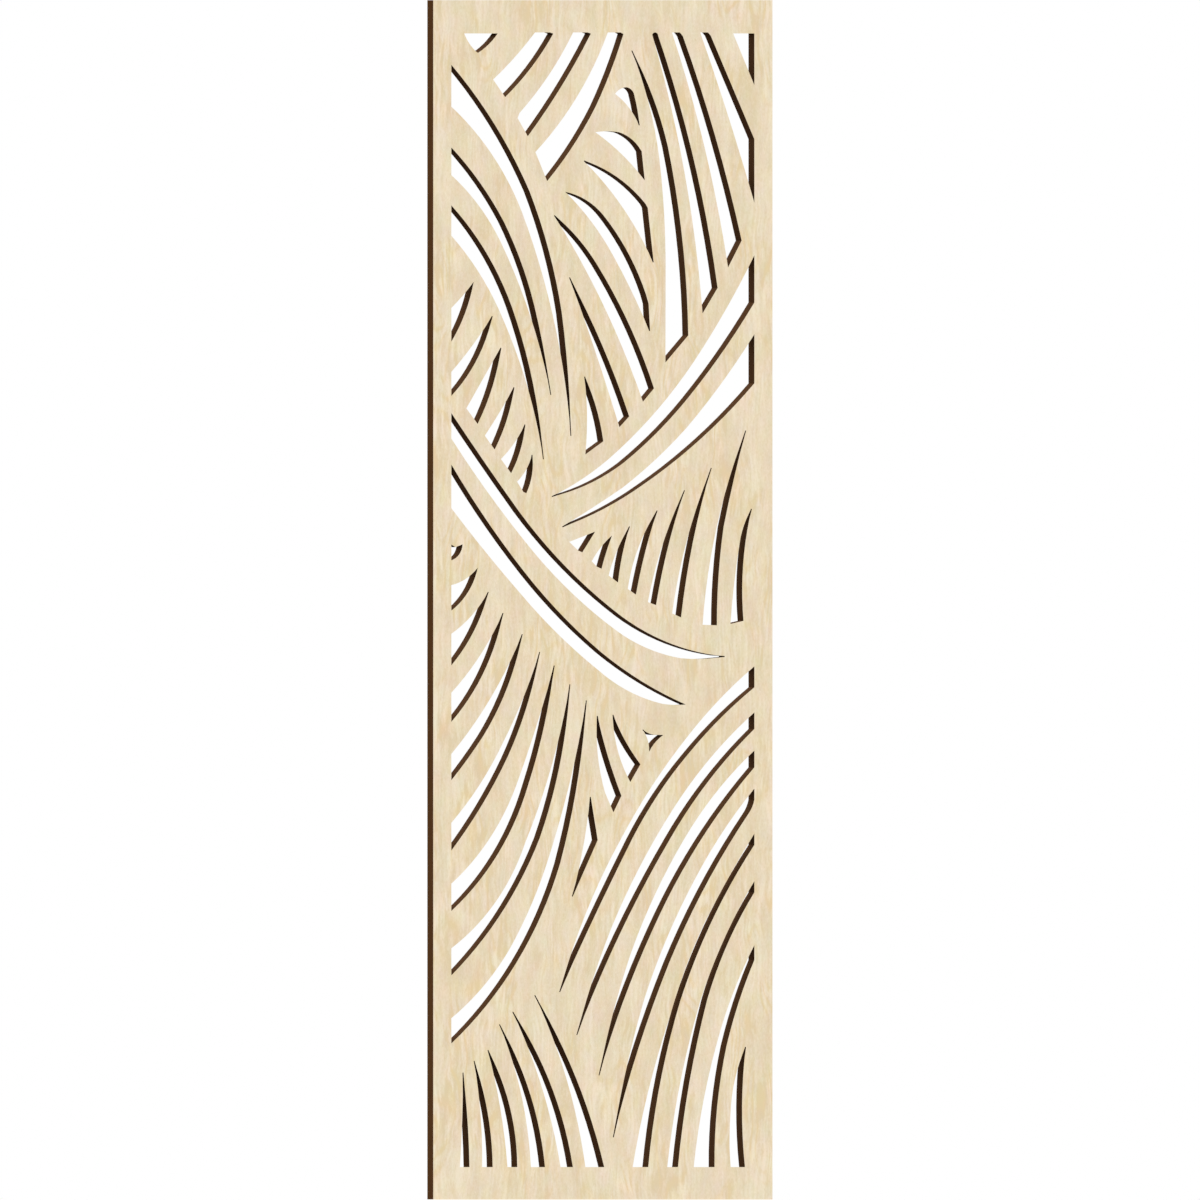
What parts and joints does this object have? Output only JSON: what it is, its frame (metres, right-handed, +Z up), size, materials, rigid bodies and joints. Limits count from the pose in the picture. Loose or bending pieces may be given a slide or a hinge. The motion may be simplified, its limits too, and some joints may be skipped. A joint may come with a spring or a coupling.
{
  "type": "fretwork wall panel",
  "caption": "Upright plywood fretwork panel: fans of tapered leaf-shaped cuts pass through a flat sheet inside a plain border.",
  "frame": {"origin": "centre of the back face, the side that lies against the wall", "axes": "+Z up along the panel's height, -Y out of the decorated face towards the viewer, +X to the viewer's right"},
  "size_m": [0.1872, 0.0066, 0.5936],
  "materials": {
    "face_veneer_wood": "satin, pale maple",
    "crossband_wood": "matte, charred by the cut",
    "core_wood": "matte, charred by the cut",
    "back_veneer_wood": "satin, pale maple"
  },
  "bodies": {
    "root": {"face_veneer": "face_veneer_wood", "front_crossband": "crossband_wood", "core_ply": "core_wood", "back_crossband": "crossband_wood", "back_veneer": "back_veneer_wood"}
  },
  "joints": []
}
